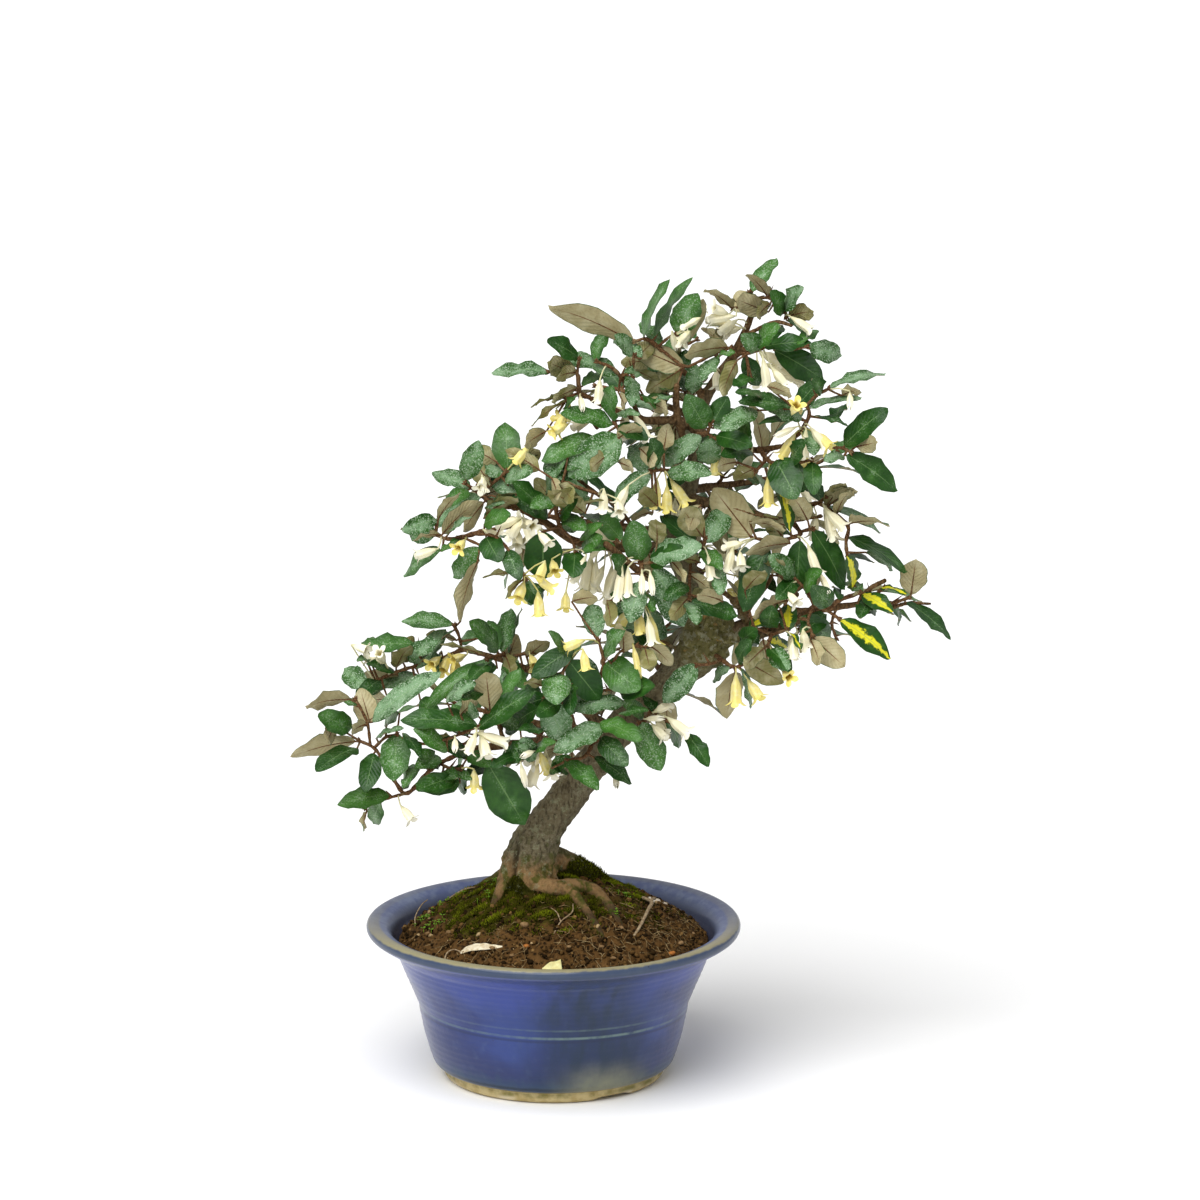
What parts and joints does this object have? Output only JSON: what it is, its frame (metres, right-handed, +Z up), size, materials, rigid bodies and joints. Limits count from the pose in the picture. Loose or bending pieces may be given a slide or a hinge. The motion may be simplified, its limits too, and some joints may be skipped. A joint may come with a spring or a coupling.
{
  "type": "thorny olive bonsai",
  "caption": "Flowering thorny olive (Elaeagnus pungens) trained as a leaning bonsai, in a round glazed pot that it stands in.",
  "frame": {"origin": "centre of the object's box at the foot of the pot, on the surface that the pot stands on", "axes": "+Z up along the pot's axis; -Y towards the tree's front, so that the crown leans out over +X"},
  "size_m": [0.3286, 0.1896, 0.4182],
  "materials": {
    "pot": "gloss",
    "drain_screen": "matte",
    "soil": "matte",
    "moss": "matte",
    "bark": "matte",
    "leaf": "satin",
    "petal_cream": "matte",
    "petal_yellow": "matte"
  },
  "bodies": {
    "root": {"pot": "pot", "drain_screen": "drain_screen", "trunk": "bark", "soil": "soil", "spray_low_left_tip": "leaf", "spray_far_left": "leaf", "spray_left_pad_top": "leaf", "spray_left_pad_front": "leaf", "spray_left_pad_under": "leaf", "spray_pad_middle": "leaf", "spray_pad_lower": "leaf", "spray_pad_right": "leaf", "spray_trunk_front": "leaf", "spray_burl_front": "leaf", "spray_left_arm_end": "leaf", "spray_left_arm_top": "leaf", "spray_left_arm_middle": "leaf", "spray_centre_front": "leaf", "spray_centre_high": "leaf", "spray_crown_front": "leaf", "spray_right_centre": "leaf", "spray_right_hub": "leaf", "spray_right_end": "leaf", "spray_right_tip": "leaf", "spray_right_low": "leaf", "spray_right_under": "leaf", "spray_high_left_front": "leaf", "spray_high_left_end": "leaf", "spray_high_left_top": "leaf", "spray_top_left_end": "leaf", "spray_apex": "leaf", "spray_top_right_end": "leaf", "spray_right_high_end": "leaf", "spray_right_high_front": "leaf", "spray_back_low_left_spray": "leaf", "spray_back_left_spray": "leaf", "spray_back_right_spray": "leaf", "spray_back_right_high_spray": "leaf", "spray_back_high_spray": "leaf", "spray_back_low_spray": "leaf", "spray_back_middle_spray": "leaf", "flowers_far_left": "petal_yellow", "flowers_left_pad": "petal_cream", "flowers_left_pad_low": "petal_cream", "flowers_trunk_front": "petal_cream", "flowers_burl": "petal_yellow", "flowers_centre_low": "petal_yellow", "flowers_centre_left": "petal_cream", "flowers_left_arm": "petal_cream", "flowers_left_arm_low": "petal_yellow", "flowers_centre_high": "petal_yellow", "flowers_high_left": "petal_cream", "flowers_top_right": "petal_cream", "flowers_top": "petal_cream", "flowers_right_high": "petal_yellow", "flowers_right_high_low": "petal_yellow", "flowers_right_end": "petal_cream", "flowers_right_centre": "petal_cream", "flowers_back_left": "petal_cream", "flowers_back_right": "petal_cream"}
  },
  "joints": []
}
